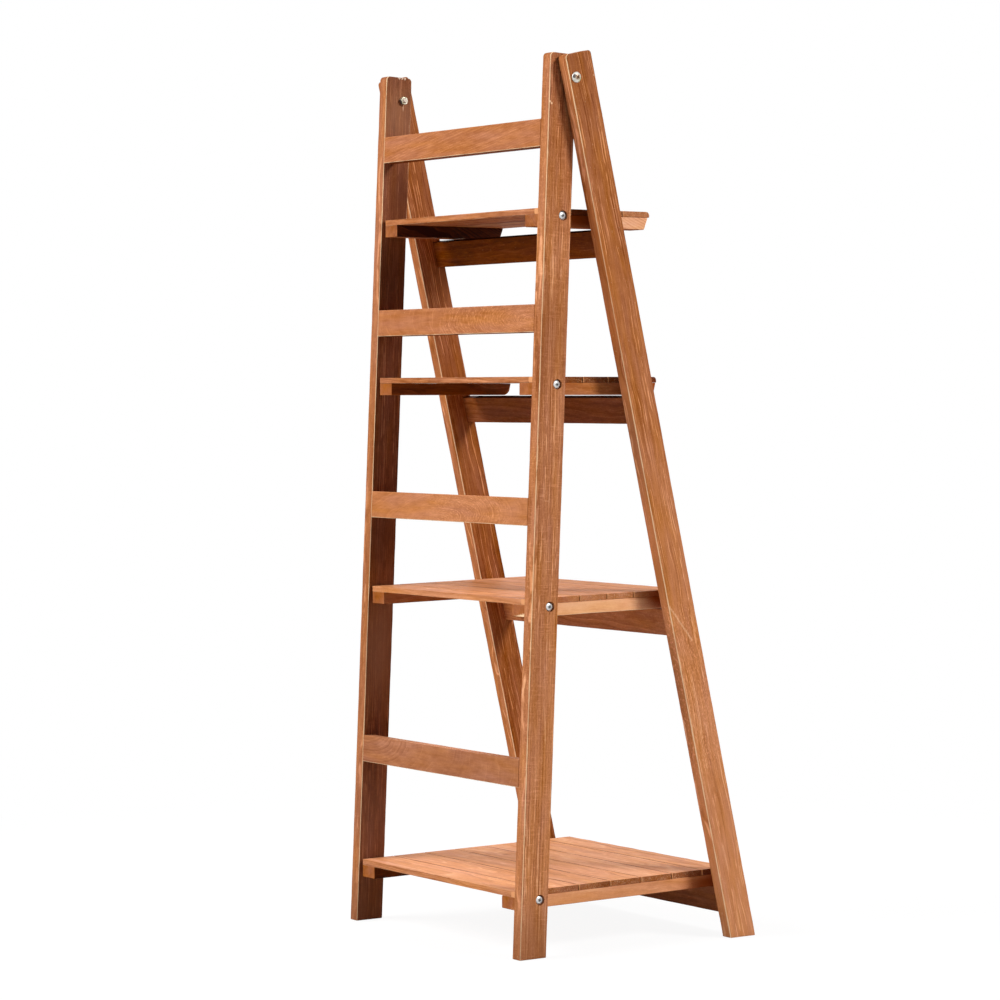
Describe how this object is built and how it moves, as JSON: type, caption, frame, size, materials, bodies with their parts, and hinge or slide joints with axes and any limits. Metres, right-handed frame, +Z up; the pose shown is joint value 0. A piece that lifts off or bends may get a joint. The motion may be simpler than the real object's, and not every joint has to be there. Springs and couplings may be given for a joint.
{
  "type": "folding plant ladder stand",
  "caption": "Folding wooden ladder stand with slatted plant shelves that deepen towards the floor, hinged on the front legs and resting on rear rails.",
  "frame": {"origin": "middle of the footprint on the floor, halfway between the front edge of the front feet and the back edge of the rear feet", "axes": "+X across, to the right of someone facing the stand's front, +Y from the front legs to the back, +Z up"},
  "size_m": [0.406, 0.3356, 1.0501],
  "materials": {
    "frame_wood": "oiled hardwood, satin, straight grain",
    "rear_wood": "oiled hardwood, satin, darker boards",
    "slat_wood": "oiled hardwood, satin, paler slats",
    "batten_wood": "oiled hardwood, satin",
    "dowel_wood": "bare hardwood dowel",
    "zinc": "zinc plated"
  },
  "bodies": {
    "rear_frame": {"rear_leg_left": "rear_wood", "rear_leg_right": "rear_wood", "rear_rail_1": "rear_wood", "rear_rail_2": "rear_wood", "rear_rail_3": "rear_wood", "rear_rail_4": "rear_wood", "fold_bolts": "zinc", "fold_nuts": "zinc", "fold_washers": "zinc", "rail_dowels": "dowel_wood"},
    "front_frame": {"front_leg_left": "frame_wood", "front_leg_right": "frame_wood", "front_rung_1": "frame_wood", "front_rung_2": "frame_wood", "front_rung_3": "frame_wood", "front_rung_4": "frame_wood", "rung_dowels": "dowel_wood"},
    "shelf_1": {"shelf_1_batten_left": "batten_wood", "shelf_1_batten_right": "batten_wood", "shelf_1_slat_1": "slat_wood", "shelf_1_slat_2": "slat_wood", "shelf_1_slat_3": "slat_wood", "shelf_1_slat_4": "slat_wood", "shelf_1_screws": "zinc", "shelf_1_pins": "zinc"},
    "shelf_2": {"shelf_2_batten_left": "batten_wood", "shelf_2_batten_right": "batten_wood", "shelf_2_slat_1": "slat_wood", "shelf_2_slat_2": "slat_wood", "shelf_2_slat_3": "slat_wood", "shelf_2_slat_4": "slat_wood", "shelf_2_slat_5": "slat_wood", "shelf_2_screws": "zinc", "shelf_2_pins": "zinc"},
    "shelf_3": {"shelf_3_batten_left": "batten_wood", "shelf_3_batten_right": "batten_wood", "shelf_3_slat_1": "slat_wood", "shelf_3_slat_2": "slat_wood", "shelf_3_slat_3": "slat_wood", "shelf_3_slat_4": "slat_wood", "shelf_3_slat_5": "slat_wood", "shelf_3_slat_6": "slat_wood", "shelf_3_screws": "zinc", "shelf_3_pins": "zinc"},
    "shelf_4": {"shelf_4_batten_left": "batten_wood", "shelf_4_batten_right": "batten_wood", "shelf_4_slat_1": "slat_wood", "shelf_4_slat_2": "slat_wood", "shelf_4_slat_3": "slat_wood", "shelf_4_slat_4": "slat_wood", "shelf_4_slat_5": "slat_wood", "shelf_4_slat_6": "slat_wood", "shelf_4_slat_7": "slat_wood", "shelf_4_screws": "zinc", "shelf_4_pins": "zinc"}
  },
  "joints": [
    {"name": "frame_fold", "type": "hinge", "parent": "rear_frame", "child": "front_frame", "pos_m": [0, -0.10065, 1.0175], "axis": [1, 0, 0], "range_deg": [0, 15.65]},
    {"name": "shelf_1_lift", "type": "hinge", "parent": "front_frame", "child": "shelf_1", "pos_m": [0, -0.10582, 0.8581], "axis": [1, 0, 0], "range_deg": [0, 87.41]},
    {"name": "shelf_2_lift", "type": "hinge", "parent": "front_frame", "child": "shelf_2", "pos_m": [0, -0.11404, 0.662], "axis": [1, 0, 0], "range_deg": [0, 87.49]},
    {"name": "shelf_3_lift", "type": "hinge", "parent": "front_frame", "child": "shelf_3", "pos_m": [0, -0.12483, 0.4047], "axis": [1, 0, 0], "range_deg": [0, 86.52]},
    {"name": "shelf_4_lift", "type": "hinge", "parent": "front_frame", "child": "shelf_4", "pos_m": [0, -0.13897, 0.0673], "axis": [1, 0, 0], "range_deg": [0, 87.02]}
  ]
}
